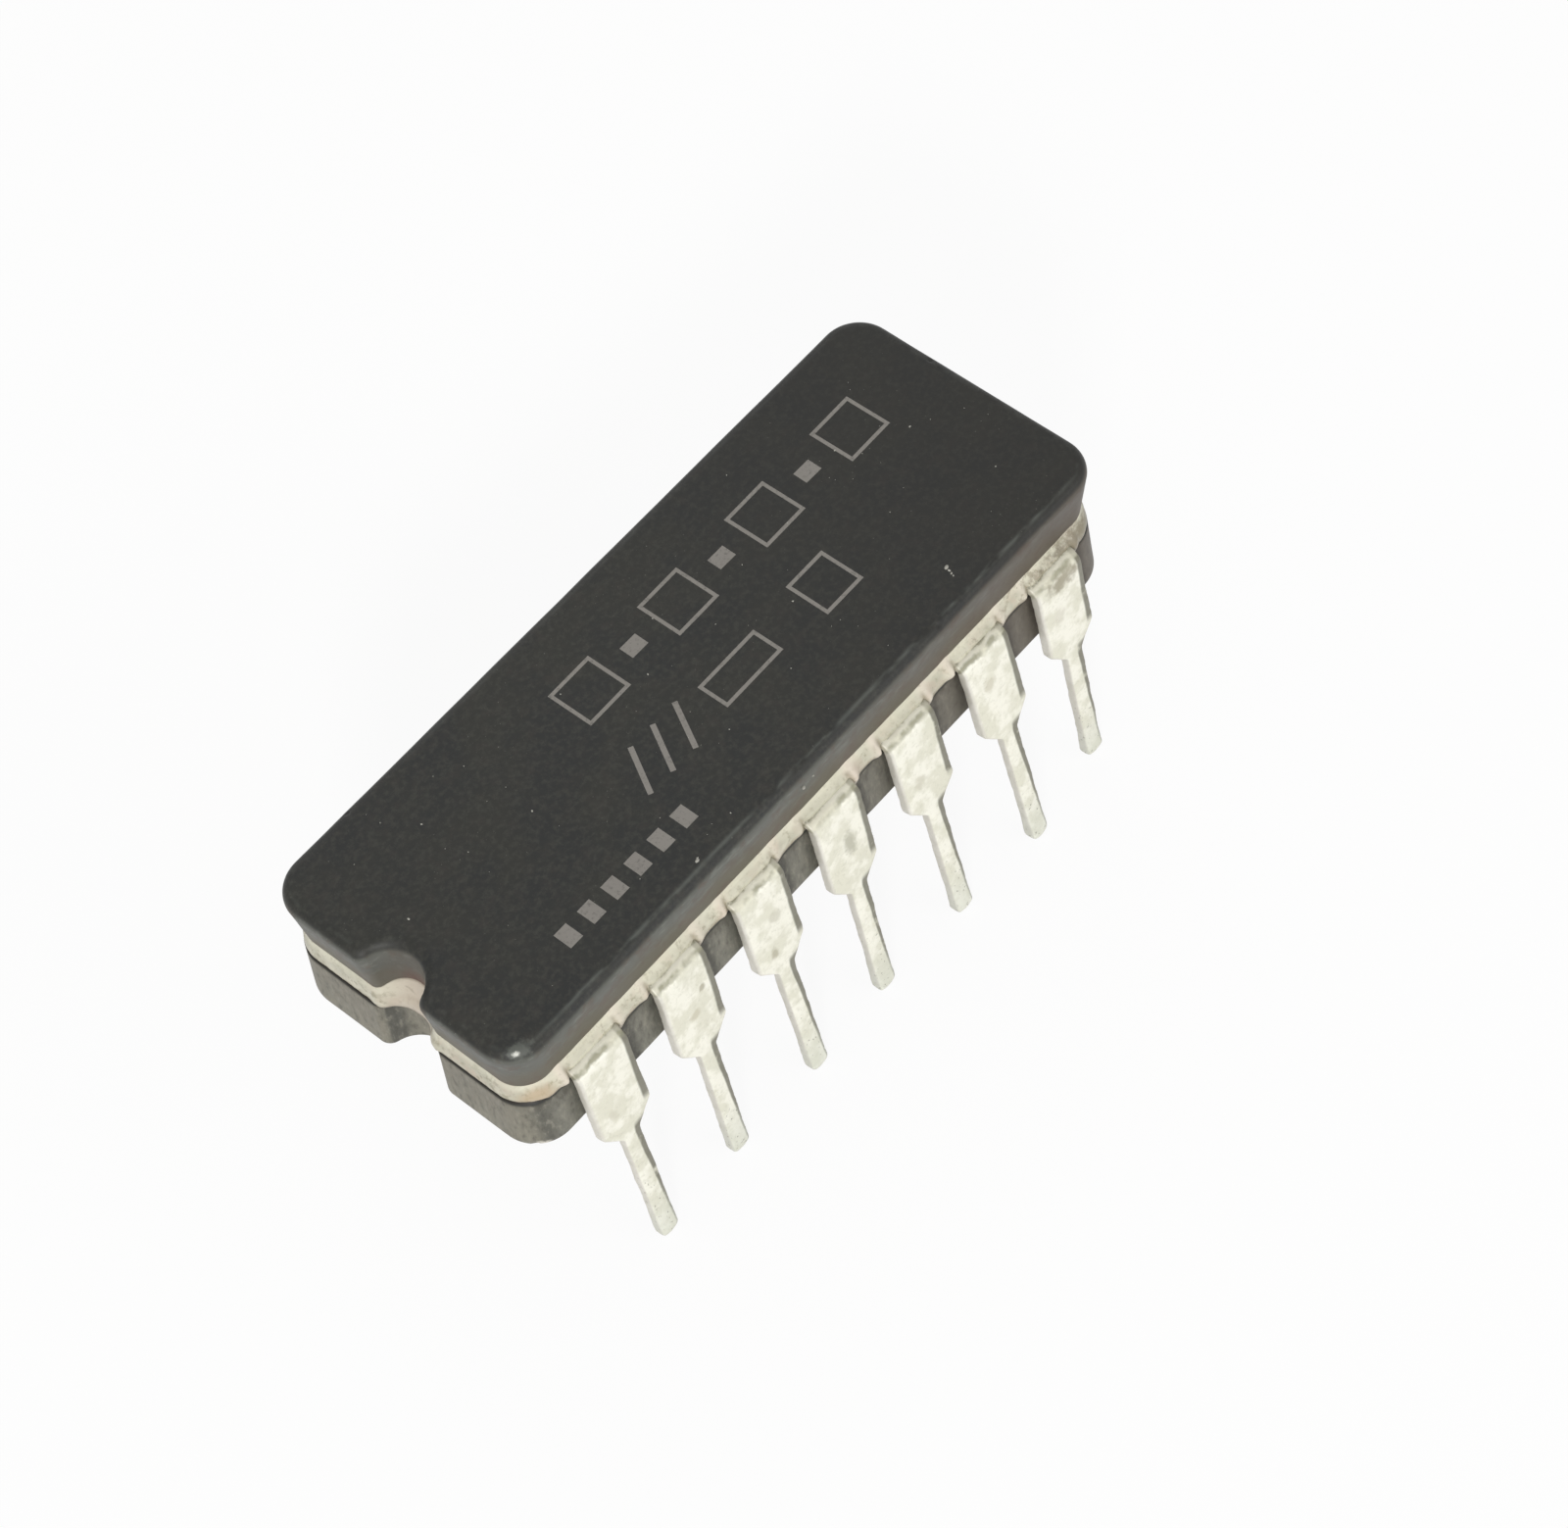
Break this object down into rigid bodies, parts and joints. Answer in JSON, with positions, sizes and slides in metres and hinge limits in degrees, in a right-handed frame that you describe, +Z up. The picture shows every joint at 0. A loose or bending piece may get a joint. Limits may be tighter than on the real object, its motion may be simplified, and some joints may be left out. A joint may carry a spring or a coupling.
{
  "type": "dip integrated circuit chip",
  "caption": "Dual in-line integrated circuit: dark ceramic base and cap joined by pale glass, end notch, rows of tinned leads with wide shoulders and narrow pins.",
  "frame": {"origin": "middle of the footprint, level with the lead tips", "axes": "+X along the body, away from the end notch; +Z up, from the lead tips to the cap; lead 1 is beside the notch on the -Y side, and the leads count on along -Y towards +X and back along +Y"},
  "size_m": [0.0194, 0.0097, 0.0088],
  "materials": {
    "ceramic": "matt, pressed and fired, nearly black",
    "seal_glass": "opaque cream solder glass, satin",
    "tinned_lead": "solder-dipped iron-nickel alloy, dull ivory white",
    "silicon": "polished silicon",
    "gold_alloy": "reflowed metal layer",
    "bond_wire": "drawn wire",
    "marking_ink": "thin grey ink, plain shapes only"
  },
  "bodies": {
    "root": {"ceramic_base": "ceramic", "ceramic_cap": "ceramic", "glass_seal": "seal_glass", "die": "silicon", "die_attach": "gold_alloy", "lead_1": "tinned_lead", "lead_2": "tinned_lead", "lead_3": "tinned_lead", "lead_4": "tinned_lead", "lead_5": "tinned_lead", "lead_6": "tinned_lead", "lead_7": "tinned_lead", "lead_8": "tinned_lead", "lead_9": "tinned_lead", "lead_10": "tinned_lead", "lead_11": "tinned_lead", "lead_12": "tinned_lead", "lead_13": "tinned_lead", "lead_14": "tinned_lead", "bond_wire_1": "bond_wire", "bond_wire_2": "bond_wire", "bond_wire_3": "bond_wire", "bond_wire_4": "bond_wire", "bond_wire_5": "bond_wire", "bond_wire_6": "bond_wire", "bond_wire_7": "bond_wire", "bond_wire_8": "bond_wire", "bond_wire_9": "bond_wire", "bond_wire_10": "bond_wire", "bond_wire_11": "bond_wire", "bond_wire_12": "bond_wire", "bond_wire_13": "bond_wire", "bond_wire_14": "bond_wire"}
  },
  "joints": []
}
